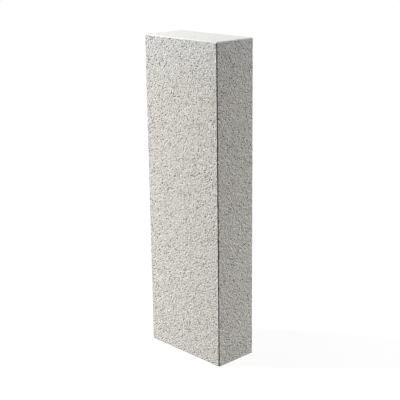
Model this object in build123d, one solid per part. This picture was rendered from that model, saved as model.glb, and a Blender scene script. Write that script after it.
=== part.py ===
from build123d import *
import os

# Concrete palisade: an upright block cast in one piece, to stand in a row along a bed, a path or a
# small terrace. All sizes are in millimetres. Z is up and the origin is the middle of the foot. X runs
# along the wide faces, so the next palisade of a row stands against a narrow face, at +X or -X.

# Driving dimensions
FACE_WIDTH = 250
THICKNESS = 120
HEIGHT = 800

# Broken edges. The mould gives the upright corners a small 45 degree chamfer, and the struck top has
# one of its own. The foot goes into the ground and keeps its sharp edges.
UPRIGHT_CHAMFER = 2
TOP_CHAMFER = 2


def section():
    """The outline of the block seen from above, with its four corners broken."""
    outline = Rectangle(FACE_WIDTH, THICKNESS)
    return chamfer(outline.vertices(), UPRIGHT_CHAMFER)


def palisade():
    """The section drawn up to full height, with the edge round its top face broken."""
    block = extrude(section(), HEIGHT)
    top_face = block.faces().sort_by(Axis.Z)[-1]
    block = chamfer(top_face.edges(), TOP_CHAMFER)
    block.label = "palisade"
    return block


os.makedirs("parts", exist_ok=True)
export_step(palisade(), "parts/palisade.step")
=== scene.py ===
import math
import bpy
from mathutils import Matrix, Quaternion, Vector


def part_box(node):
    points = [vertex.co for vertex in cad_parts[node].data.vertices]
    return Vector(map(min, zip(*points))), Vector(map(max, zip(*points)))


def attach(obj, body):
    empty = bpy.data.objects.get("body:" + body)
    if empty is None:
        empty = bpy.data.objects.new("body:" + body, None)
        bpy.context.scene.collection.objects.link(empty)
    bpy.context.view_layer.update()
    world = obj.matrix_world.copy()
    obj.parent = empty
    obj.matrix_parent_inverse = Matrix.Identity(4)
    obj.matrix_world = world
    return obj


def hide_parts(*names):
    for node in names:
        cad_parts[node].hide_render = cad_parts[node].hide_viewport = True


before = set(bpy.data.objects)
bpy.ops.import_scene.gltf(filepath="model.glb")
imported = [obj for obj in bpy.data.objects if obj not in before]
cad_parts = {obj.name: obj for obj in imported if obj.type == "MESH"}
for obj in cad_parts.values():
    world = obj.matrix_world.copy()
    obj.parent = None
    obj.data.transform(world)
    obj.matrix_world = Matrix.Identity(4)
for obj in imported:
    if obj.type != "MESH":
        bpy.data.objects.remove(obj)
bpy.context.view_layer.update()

blockLow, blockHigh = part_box("palisade")
blockSize = blockHigh - blockLow
mm = 0.001
print("frame loaded, block of", [round(side / mm, 1) for side in blockSize], "mm")


# Shared helpers

def linearColour(hexText):
    # sRGB hex to the linear values that Blender's sockets hold
    parts = [int(hexText[i:i + 2], 16) / 255 for i in (1, 3, 5)]
    return tuple(v / 12.92 if v <= 0.04045 else ((v + 0.055) / 1.055) ** 2.4 for v in parts) + (1.0,)


def addNode(tree, kind, settings=None, inputs=None):
    # settings are the node's own properties, inputs are numbers or other nodes' sockets
    node = tree.nodes.new(kind)
    for name, value in (settings or {}).items():
        setattr(node, name, value)
    for name, value in (inputs or {}).items():
        if isinstance(value, bpy.types.NodeSocket):
            tree.links.new(value, node.inputs[name])
        else:
            node.inputs[name].default_value = value
    return node


def directionTo(azimuth, elevation):
    # azimuth in degrees from the wide face round to the right narrow face, elevation in degrees up
    turn, rise = math.radians(azimuth), math.radians(elevation)
    return Vector((math.sin(turn) * math.cos(rise), -math.cos(turn) * math.cos(rise), math.sin(rise)))


# The relief that blasting leaves in the cement: sand stands proud, soft spots sink, and where a grain
# came out there is a small round hollow. The same pattern drives the mesh and the colours.

blastedRelief = {
    "chamfer": 2.0 * mm,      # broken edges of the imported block
    "gridCell": 1.0 * mm,     # cell of the mesh before it is thinned out, with whole cells in a chamfer
    "triangles": 190000,      # what the thinned mesh keeps
    "creaseAngle": 35,        # degrees between two faces from which their edge shows sharp
    "topFade": (1.8 * mm, 2.8 * mm),     # blasting starts between these depths below the top
    "footFade": (0.1 * mm, 1.2 * mm),    # and ends between these heights, so the foot stays sharp
    "dentCell": 9.0 * mm,     # soft unevenness between the stones
    "dentDepth": 0.2 * mm,
    "warpCell": 4.0 * mm,     # pushes the hollows out of round
    "warp": 0.8 * mm,
    "noiseDetail": 1.0,
    "pitCell": 3.6 * mm,      # coarse grains of 3 to 4 mm
    "pitShare": 0.42,         # share of them that came out
    "pitDepth": 1.0 * mm,
    "pitSlope": 2.3 * mm,     # depth that is only shaded, for walls too steep for the thinned mesh
    "poreCell": 2.3 * mm,     # fine grains of 1 to 3 mm
    "poreShare": 0.55,
    "poreDepth": 0.7 * mm,    # shaded too
    "hollowFloor": 0.15,      # reach of a hollow's flat bottom, as a share of its cell
    "hollowRadius": 0.50,     # reach of the whole hollow
    "rimRadius": 0.85,        # and of the pale ring round it, where a highlight is painted
    "luck": {"missing": (1, 1, 1), "tone": (1, 3, 5), "warm": (2, 1, 3)},
}


def lostGrains(tree, place, cell, share):
    # each Voronoi cell is a grain, and a share of them is missing. hollow is 0 on the face, 1 where deepest
    r = blastedRelief
    grain = addNode(tree, "ShaderNodeTexVoronoi", {"feature": "F1"}, {
        "Vector": place, "Scale": 1 / cell, "Randomness": 1.0})
    # a cell's colour is also where its grain sits, so its channels are mixed for luck that no face decides
    luck = {}
    for name, mix in r["luck"].items():
        total = addNode(tree, "ShaderNodeVectorMath", {"operation": "DOT_PRODUCT"}, {
            0: grain.outputs["Color"], 1: mix})
        luck[name] = addNode(tree, "ShaderNodeMath", {"operation": "FRACT"}, {
            0: total.outputs["Value"]}).outputs[0]
    missing = addNode(tree, "ShaderNodeMapRange", {"interpolation_type": "SMOOTHSTEP"}, {
        "Value": luck["missing"], "From Min": 1 - share, "From Max": 1.0})
    bowl = addNode(tree, "ShaderNodeMapRange", {"interpolation_type": "SMOOTHSTEP"}, {
        "Value": grain.outputs["Distance"], "From Min": r["hollowRadius"], "From Max": r["hollowFloor"]})
    hollow = addNode(tree, "ShaderNodeMath", {"operation": "MULTIPLY"}, {
        0: missing.outputs["Result"], 1: bowl.outputs["Result"]})
    # the ring round a missing grain, used only to paint a pale highlight round the hollow
    collar = addNode(tree, "ShaderNodeMapRange", {"interpolation_type": "SMOOTHSTEP"}, {
        "Value": grain.outputs["Distance"], "From Min": r["rimRadius"], "From Max": r["hollowRadius"]})
    rimHighlight = addNode(tree, "ShaderNodeMath", {"operation": "MULTIPLY"}, {
        0: missing.outputs["Result"], 1: collar.outputs["Result"]})
    return {"hollow": hollow.outputs[0], "rimHighlight": rimHighlight.outputs[0],
            "distance": grain.outputs["Distance"], "luck": luck}


def blastedPattern(tree, place):
    # every value that the mesh and the material share, worked out from the place on the cast face
    r = blastedRelief
    height = addNode(tree, "ShaderNodeSeparateXYZ", inputs={0: place}).outputs["Z"]
    belowTop = addNode(tree, "ShaderNodeMapRange", {"interpolation_type": "SMOOTHSTEP"}, {
        "Value": height,
        "From Min": blockHigh.z - r["topFade"][0], "From Max": blockHigh.z - r["topFade"][1]})
    aboveFoot = addNode(tree, "ShaderNodeMapRange", {"interpolation_type": "SMOOTHSTEP"}, {
        "Value": height, "From Min": r["footFade"][0], "From Max": r["footFade"][1]})
    sides = addNode(tree, "ShaderNodeMath", {"operation": "MULTIPLY"}, {
        0: belowTop.outputs["Result"], 1: aboveFoot.outputs["Result"]}).outputs[0]
    noise = addNode(tree, "ShaderNodeTexNoise", inputs={
        "Vector": place, "Scale": 1 / r["warpCell"], "Detail": r["noiseDetail"]})
    offset = addNode(tree, "ShaderNodeVectorMath", {"operation": "SUBTRACT"}, {
        0: noise.outputs["Color"], 1: (0.5, 0.5, 0.5)})
    warped = addNode(tree, "ShaderNodeVectorMath", {"operation": "MULTIPLY_ADD"}, {
        0: offset.outputs[0], 1: (2 * r["warp"],) * 3, 2: place}).outputs[0]
    dent = addNode(tree, "ShaderNodeTexNoise", inputs={
        "Vector": place, "Scale": 1 / r["dentCell"], "Detail": r["noiseDetail"]}).outputs["Fac"]
    return {"height": height, "sides": sides, "dent": dent, "warped": warped,
            "pit": lostGrains(tree, warped, r["pitCell"], r["pitShare"]),
            "pore": lostGrains(tree, warped, r["poreCell"], r["poreShare"])}


def breakEdges(tree, geometry):
    # what lies past a 45 degree plane goes straight back onto it. The foot's edges are left alone
    place = addNode(tree, "GeometryNodeInputPosition").outputs[0]
    axes = addNode(tree, "ShaderNodeSeparateXYZ", inputs={0: place})
    inside = {}
    for axis, edge in zip("XYZ", blockHigh):
        reach = addNode(tree, "ShaderNodeMath", {"operation": "ABSOLUTE"}, {0: axes.outputs[axis]})
        inside[axis] = addNode(tree, "ShaderNodeMath", {"operation": "SUBTRACT"}, {
            0: edge, 1: reach.outputs[0]}).outputs[0]
    cut = {}
    for pair in ("XY", "XZ", "YZ"):
        room = addNode(tree, "ShaderNodeMath", {"operation": "ADD"}, {
            0: inside[pair[0]], 1: inside[pair[1]]})
        past = addNode(tree, "ShaderNodeMath", {"operation": "SUBTRACT"}, {
            0: blastedRelief["chamfer"], 1: room.outputs[0]})
        half = addNode(tree, "ShaderNodeMath", {"operation": "MULTIPLY"}, {0: past.outputs[0], 1: 0.5})
        cut[pair] = addNode(tree, "ShaderNodeMath", {"operation": "MAXIMUM"}, {
            0: half.outputs[0], 1: 0.0}).outputs[0]
    back = {}
    for axis in "XYZ":
        first, second = [cut[pair] for pair in cut if axis in pair]
        most = addNode(tree, "ShaderNodeMath", {"operation": "MAXIMUM"}, {0: first, 1: second})
        side = addNode(tree, "ShaderNodeMath", {"operation": "SIGN"}, {0: axes.outputs[axis]})
        back[axis] = addNode(tree, "ShaderNodeMath", {"operation": "MULTIPLY"}, {
            0: side.outputs[0], 1: most.outputs[0]}).outputs[0]
    outward = addNode(tree, "ShaderNodeCombineXYZ", inputs=back)
    inward = addNode(tree, "ShaderNodeVectorMath", {"operation": "SCALE"}, {
        0: outward.outputs[0], "Scale": -1.0})
    return addNode(tree, "GeometryNodeSetPosition", inputs={
        "Geometry": geometry, "Offset": inward.outputs[0]}).outputs[0]


def pressRelief(tree, geometry):
    # each point keeps its place on the cast face for the colours, then sinks along its normal
    r = blastedRelief
    place = addNode(tree, "GeometryNodeInputPosition").outputs[0]
    kept = addNode(tree, "GeometryNodeStoreNamedAttribute", {
        "data_type": "FLOAT_VECTOR", "domain": "POINT"}, {
            "Geometry": geometry, "Name": "castPlace", "Value": place})
    pattern = blastedPattern(tree, place)
    pits = addNode(tree, "ShaderNodeMath", {"operation": "MULTIPLY"}, {
        0: pattern["pit"]["hollow"], 1: r["pitDepth"]})
    depth = addNode(tree, "ShaderNodeMath", {"operation": "MULTIPLY_ADD"}, {
        0: pattern["dent"], 1: r["dentDepth"], 2: pits.outputs[0]})
    onSides = addNode(tree, "ShaderNodeMath", {"operation": "MULTIPLY"}, {
        0: depth.outputs[0], 1: pattern["sides"]})
    inward = addNode(tree, "ShaderNodeMath", {"operation": "MULTIPLY"}, {0: onSides.outputs[0], 1: -1.0})
    outward = addNode(tree, "GeometryNodeInputNormal")
    press = addNode(tree, "ShaderNodeVectorMath", {"operation": "SCALE"}, {
        0: outward.outputs[0], "Scale": inward.outputs[0]})
    return addNode(tree, "GeometryNodeSetPosition", inputs={
        "Geometry": kept.outputs[0], "Offset": press.outputs[0]}).outputs[0]


def buildReliefGroup():
    tree = bpy.data.node_groups.new("blastedRelief", "GeometryNodeTree")
    tree.interface.new_socket("Geometry", in_out="INPUT", socket_type="NodeSocketGeometry")
    tree.interface.new_socket("Geometry", in_out="OUTPUT", socket_type="NodeSocketGeometry")
    counts = [round(side / blastedRelief["gridCell"]) + 1 for side in blockSize]
    box = addNode(tree, "GeometryNodeMeshCube", inputs={
        "Size": tuple(blockSize),
        "Vertices X": counts[0], "Vertices Y": counts[1], "Vertices Z": counts[2]})
    lifted = addNode(tree, "GeometryNodeSetPosition", inputs={
        "Geometry": box.outputs["Mesh"], "Offset": (0.0, 0.0, blockSize.z / 2)})
    shaped = pressRelief(tree, breakEdges(tree, lifted.outputs[0]))
    addNode(tree, "NodeGroupOutput", inputs={0: shaped})
    return tree


def buildBlock():
    # the fine mesh comes from the node group, and is then thinned out where it is flat
    block = bpy.data.objects.new("blastedBlock", bpy.data.meshes.new("blastedBlock"))
    bpy.context.scene.collection.objects.link(block)
    for kind in ("NODES", "DECIMATE"):
        step = block.modifiers.new(kind.lower(), kind)
        if kind == "NODES":
            step.node_group = buildReliefGroup()
        else:
            step.ratio = blastedRelief["triangles"] / (2 * len(block.data.polygons))
        shape = bpy.data.meshes.new_from_object(block.evaluated_get(bpy.context.evaluated_depsgraph_get()))
        block.modifiers.clear()
        block.data = shape
    shape.name = "blastedBlock"
    for vertex in shape.vertices:   # thinning out may leave a point a hair outside the block
        vertex.co = [min(max(value, low), high) for value, low, high in zip(vertex.co, blockLow, blockHigh)]
    shape.set_sharp_from_angle(angle=math.radians(blastedRelief["creaseAngle"]))
    shape.calc_loop_triangles()
    print("block built,", len(shape.loop_triangles), "triangles")
    return block


# Shot-blasted cast concrete: pale grey-beige cement with sand and small stones showing, dull all over.
# The struck top was never blasted and keeps its smooth, lighter cement skin.

concreteFinish = {
    "cementLight": "#DFE1DF", # each fine grain has a tone between these two
    "cementDark": "#BDB6AC",
    "warmSand": "#D0C6B7",
    "warmShare": 0.15,
    "bloom": "#DCE3EC",       # lime that damp drew out below the top, paler and cooler
    "bloomShare": 0.2,
    "bloomReach": 150 * mm,
    "rimHighlight": "#EFEEEA",         # painted highlight: a pale ring round a hollow, standing in for its lit edge
    "rimShare": 0.7,
    "pit": "#5C3C1C",         # hollows painted dark brown: partly earthy dust and damp, partly painted shade that falls inside the hollow
    "topSkin": "#F2F3F1",
    "topCloud": "#E7E7E4",    # faint clouds that the float leaves in the skin
    "cloudCell": 16 * mm,
    "cloudDetail": 4.0,
    "cloudRange": (0.3, 0.7), # from skin to cloud, on the noise's scale of 0 to 1
    "topSand": "#DEDCD8",     # sand that shows through the skin
    "topSandShare": 0.5,
    "topSandHidden": 0.4,     # share of its grains that stay covered
    "roughness": 0.92,
    "specularLevel": 0.2,     # chalky cement shines less than the usual 0.5
    "stoneCell": 4.0 * mm,    # small stones standing proud of the cement, half of them hidden in it
    "stoneHeight": 2.4 * mm,  # the noise uses about 0.4 of it, so a stone stands 1 mm proud
    "grainHeight": 0.35 * mm, # sand grains of poreCell
    "sandCell": 1.4 * mm,     # finest sand, drawn at 1.4 mm for a real 0.5 mm so that it shows
    "sandHeight": 0.2 * mm,
}


def blastedColour(tree, pattern):
    # grains of different tones, pale rims painted as highlights round the hollows, and hollows painted dark
    # brown, partly dust and partly painted shade
    c = concreteFinish
    cement = addNode(tree, "ShaderNodeMix", {"data_type": "RGBA"}, {
        0: pattern["pore"]["luck"]["tone"],
        6: linearColour(c["cementDark"]), 7: linearColour(c["cementLight"])})
    isWarm = addNode(tree, "ShaderNodeMath", {"operation": "LESS_THAN"}, {
        0: pattern["pore"]["luck"]["warm"], 1: c["warmShare"]})
    grains = addNode(tree, "ShaderNodeMix", {"data_type": "RGBA"}, {
        0: isWarm.outputs[0], 6: cement.outputs[2], 7: linearColour(c["warmSand"])})
    lime = addNode(tree, "ShaderNodeMapRange", {"interpolation_type": "SMOOTHSTEP"}, {
        "Value": pattern["height"], "From Min": blockHigh.z - c["bloomReach"], "From Max": blockHigh.z,
        "To Max": c["bloomShare"]})
    bloomed = addNode(tree, "ShaderNodeMix", {"data_type": "RGBA"}, {
        0: lime.outputs["Result"], 6: grains.outputs[2], 7: linearColour(c["bloom"])})
    # painted highlight: each hollow gets a pale ring, lighter as if its edge were lit
    collar = addNode(tree, "ShaderNodeMath", {"operation": "MULTIPLY"}, {
        0: pattern["pit"]["rimHighlight"], 1: c["rimShare"]})
    ringed = addNode(tree, "ShaderNodeMix", {"data_type": "RGBA"}, {
        0: collar.outputs[0], 6: bloomed.outputs[2], 7: linearColour(c["rimHighlight"])})
    # pits and pores are painted dark brown where deepest: partly dust, partly painted shade of the hollow
    hollow = addNode(tree, "ShaderNodeMath", {"operation": "MAXIMUM"}, {
        0: pattern["pit"]["hollow"], 1: pattern["pore"]["hollow"]})
    return addNode(tree, "ShaderNodeMix", {"data_type": "RGBA"}, {
        0: hollow.outputs[0], 6: ringed.outputs[2], 7: linearColour(c["pit"])}).outputs[2]


def skinColour(tree, place, pattern):
    # the smooth top and the foot, faintly cloudy, with some sand showing through
    c = concreteFinish
    clouds = addNode(tree, "ShaderNodeTexNoise", inputs={
        "Vector": place, "Scale": 1 / c["cloudCell"], "Detail": c["cloudDetail"]})
    cloudy = addNode(tree, "ShaderNodeMapRange", {"interpolation_type": "SMOOTHSTEP"}, {
        "Value": clouds.outputs["Fac"], "From Min": c["cloudRange"][0], "From Max": c["cloudRange"][1]})
    skin = addNode(tree, "ShaderNodeMix", {"data_type": "RGBA"}, {
        0: cloudy.outputs["Result"], 6: linearColour(c["topSkin"]), 7: linearColour(c["topCloud"])})
    specks = addNode(tree, "ShaderNodeMapRange", {"interpolation_type": "SMOOTHSTEP"}, {
        "Value": pattern["pore"]["luck"]["tone"], "From Min": c["topSandHidden"], "From Max": 1.0,
        "To Max": c["topSandShare"]})
    return addNode(tree, "ShaderNodeMix", {"data_type": "RGBA"}, {
        0: specks.outputs["Result"], 6: skin.outputs[2], 7: linearColour(c["topSand"])}).outputs[2]


def gritHeight(tree, place, pattern):
    # heights in metres: stones and grains bulge, hollows sink, and sand covers all of it
    c, r = concreteFinish, blastedRelief
    bulge = addNode(tree, "ShaderNodeMath", {"operation": "MULTIPLY"}, {
        0: pattern["pore"]["distance"], 1: -c["grainHeight"]})
    stones = addNode(tree, "ShaderNodeTexNoise", inputs={
        "Vector": pattern["warped"], "Scale": 1 / c["stoneCell"], "Detail": r["noiseDetail"]})
    proud = addNode(tree, "ShaderNodeMath", {"operation": "MULTIPLY_ADD"}, {
        0: stones.outputs["Fac"], 1: c["stoneHeight"], 2: bulge.outputs[0]})
    pitted = addNode(tree, "ShaderNodeMath", {"operation": "MULTIPLY_ADD"}, {
        0: pattern["pit"]["hollow"], 1: -r["pitSlope"], 2: proud.outputs[0]})
    sunk = addNode(tree, "ShaderNodeMath", {"operation": "MULTIPLY_ADD"}, {
        0: pattern["pore"]["hollow"], 1: -r["poreDepth"], 2: pitted.outputs[0]})
    onSides = addNode(tree, "ShaderNodeMath", {"operation": "MULTIPLY"}, {
        0: sunk.outputs[0], 1: pattern["sides"]})
    sand = addNode(tree, "ShaderNodeTexNoise", inputs={
        "Vector": place, "Scale": 1 / c["sandCell"], "Detail": r["noiseDetail"]})
    return addNode(tree, "ShaderNodeMath", {"operation": "MULTIPLY_ADD"}, {
        0: sand.outputs["Fac"], 1: c["sandHeight"], 2: onSides.outputs[0]}).outputs[0]


def buildConcrete():
    c = concreteFinish
    material = bpy.data.materials.new("shot-blasted cast concrete")
    material.use_nodes = True
    tree = material.node_tree
    tree.nodes.clear()
    place = addNode(tree, "ShaderNodeAttribute", {
        "attribute_type": "GEOMETRY", "attribute_name": "castPlace"}).outputs["Vector"]
    pattern = blastedPattern(tree, place)
    colour = addNode(tree, "ShaderNodeMix", {"data_type": "RGBA"}, {
        0: pattern["sides"], 6: skinColour(tree, place, pattern), 7: blastedColour(tree, pattern)})
    bump = addNode(tree, "ShaderNodeBump", inputs={
        "Strength": 1.0, "Distance": 1.0, "Height": gritHeight(tree, place, pattern)})
    shader = addNode(tree, "ShaderNodeBsdfPrincipled", inputs={
        "Base Color": colour.outputs[2], "Roughness": c["roughness"],
        "Specular IOR Level": c["specularLevel"], "Normal": bump.outputs[0]})
    addNode(tree, "ShaderNodeOutputMaterial", inputs={"Surface": shader.outputs[0]})
    return material


block = buildBlock()
block.data.materials.clear()
block.data.materials.append(buildConcrete())
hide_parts("palisade")
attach(block, "root")
print("concrete applied")


# Studio: white paper and two soft lamps, both a little behind the edge nearest the camera, so that this
# edge stays dark between two lit faces. level is how bright a white card looks in the middle of the beam,
# at the block's distance and facing the lamp, where 1 is white. aim is the height in metres that the lamp
# points at: below the floor, so that the foot gets as much light as the top, and a white card on either
# face seen looks about white or darker. grid is how far apart, in degrees, the outermost rays are.

studio = {
    "ambient": 0.02,          # what the white room itself adds to the light
    "floorSize": 14.0,
    "floorBounce": 0.07,      # how pale the floor is as it lights the block
    "floorSeen": 0.13,        # how strongly the camera sees lamps and shadows on the floor
    "floorGlow": 0.875,       # the rest of its white near the block
    "glowStart": 0.5,         # from here the glow rises to 1 at glowEnd, away from the block
    "glowEnd": 2.5,
    "lamps": {
        "leftSoftbox": {"azimuth": -50, "elevation": 30, "distance": 3.6, "size": (0.8, 0.8),
                        "aim": -0.8, "grid": 89, "level": 2.59},
        "rightSoftbox": {"azimuth": 141, "elevation": 24, "distance": 3.6, "size": (0.8, 0.8),
                         "aim": -0.85, "grid": 75, "level": 1.60},
    },
}


def seenDirectly(tree):
    # 1 for what the camera sees straight, in a mirror or through glass
    path = addNode(tree, "ShaderNodeLightPath")
    first = addNode(tree, "ShaderNodeMath", {"operation": "MAXIMUM"}, {
        0: path.outputs["Is Camera Ray"], 1: path.outputs["Is Glossy Ray"]})
    return addNode(tree, "ShaderNodeMath", {"operation": "MAXIMUM"}, {
        0: first.outputs[0], 1: path.outputs["Is Transmission Ray"]}).outputs[0]


def buildFloor():
    half = studio["floorSize"] / 2
    corners = [(-half, -half, 0), (half, -half, 0), (half, half, 0), (-half, half, 0)]
    shape = bpy.data.meshes.new("studioFloor")
    shape.from_pydata(corners, [], [(0, 1, 2, 3)])
    floor = bpy.data.objects.new("studioFloor", shape)
    bpy.context.scene.collection.objects.link(floor)
    # matt paper has no shine. Its white is a glow that is seen but lights nothing
    material = bpy.data.materials.new("matt white studio paper")
    material.use_nodes = True
    tree = material.node_tree
    tree.nodes.clear()
    seen = seenDirectly(tree)
    spot = addNode(tree, "ShaderNodeNewGeometry")
    away = addNode(tree, "ShaderNodeVectorMath", {"operation": "LENGTH"}, {0: spot.outputs["Position"]})
    grey = addNode(tree, "ShaderNodeMapRange", inputs={
        "Value": seen, "To Min": studio["floorBounce"], "To Max": studio["floorSeen"]})
    sweep = addNode(tree, "ShaderNodeMapRange", {"interpolation_type": "SMOOTHSTEP"}, {
        "Value": away.outputs["Value"], "From Min": studio["glowStart"], "From Max": studio["glowEnd"],
        "To Min": studio["floorGlow"], "To Max": 1.0})
    glow = addNode(tree, "ShaderNodeMath", {"operation": "MULTIPLY"}, {0: seen, 1: sweep.outputs["Result"]})
    shader = addNode(tree, "ShaderNodeBsdfPrincipled", inputs={
        "Base Color": grey.outputs["Result"], "Roughness": 1.0, "Specular IOR Level": 0.0,
        "Emission Color": (1.0, 1.0, 1.0, 1.0), "Emission Strength": glow.outputs[0]})
    addNode(tree, "ShaderNodeOutputMaterial", inputs={"Surface": shader.outputs[0]})
    shape.materials.append(material)


def buildWorld():
    world = bpy.data.worlds.new("studioAir")
    world.use_nodes = True
    tree = world.node_tree
    tree.nodes.clear()
    strength = addNode(tree, "ShaderNodeMapRange", inputs={
        "Value": seenDirectly(tree), "To Min": studio["ambient"], "To Max": 1.0})
    air = addNode(tree, "ShaderNodeBackground", inputs={
        "Color": (1.0, 1.0, 1.0, 1.0), "Strength": strength.outputs["Result"]})
    addNode(tree, "ShaderNodeOutputWorld", inputs={"Surface": air.outputs[0]})
    bpy.context.scene.world = world


def buildLamps():
    # a lamp with a narrower spread shines brighter ahead, so its energy comes down to keep level true
    for name, lamp in studio["lamps"].items():
        light = bpy.data.lights.new(name, "AREA")
        light.shape = "RECTANGLE"
        light.size, light.size_y = lamp["size"]
        half = math.radians(lamp["grid"]) / 2
        light.spread = 2 * half
        light.energy = lamp["level"] * (math.pi * lamp["distance"]) ** 2 * (1 - half / math.tan(half))
        softbox = bpy.data.objects.new(name, light)
        middle = Vector((0.0, 0.0, blockHigh.z / 2))
        softbox.location = middle + directionTo(lamp["azimuth"], lamp["elevation"]) * lamp["distance"]
        target = Vector((0.0, 0.0, lamp["aim"]))
        softbox.rotation_mode = "QUATERNION"
        softbox.rotation_quaternion = (softbox.location - target).to_track_quat("Z", "Y")
        softbox.visible_camera = False
        bpy.context.scene.collection.objects.link(softbox)


buildFloor()
buildWorld()
buildLamps()
bpy.context.scene.view_settings.view_transform = "Standard"
print("studio lit")


# Camera: worked out from the block's straight edges in the photograph

photoCamera = {
    "azimuth": 46.68,
    "elevation": 16.17,
    "roll": -0.74,
    "distance": 2.4163,       # metres from the aim point
    "aimHeight": 0.3928,
    "focalPixels": 967.9,     # focal length, for a picture that is imagePixels wide
    "imagePixels": 400,
}


def buildCamera():
    p = photoCamera
    back = directionTo(p["azimuth"], p["elevation"])
    roll = Quaternion((0.0, 0.0, 1.0), math.radians(p["roll"]))
    data = bpy.data.cameras.new("photoCamera")
    data.lens = data.sensor_width * p["focalPixels"] / p["imagePixels"]
    camera = bpy.data.objects.new("photoCamera", data)
    camera.location = Vector((0.0, 0.0, p["aimHeight"])) + back * p["distance"]
    camera.rotation_mode = "QUATERNION"
    camera.rotation_quaternion = back.to_track_quat("Z", "Y") @ roll
    bpy.context.scene.collection.objects.link(camera)
    bpy.context.scene.camera = camera


buildCamera()
print("camera placed")
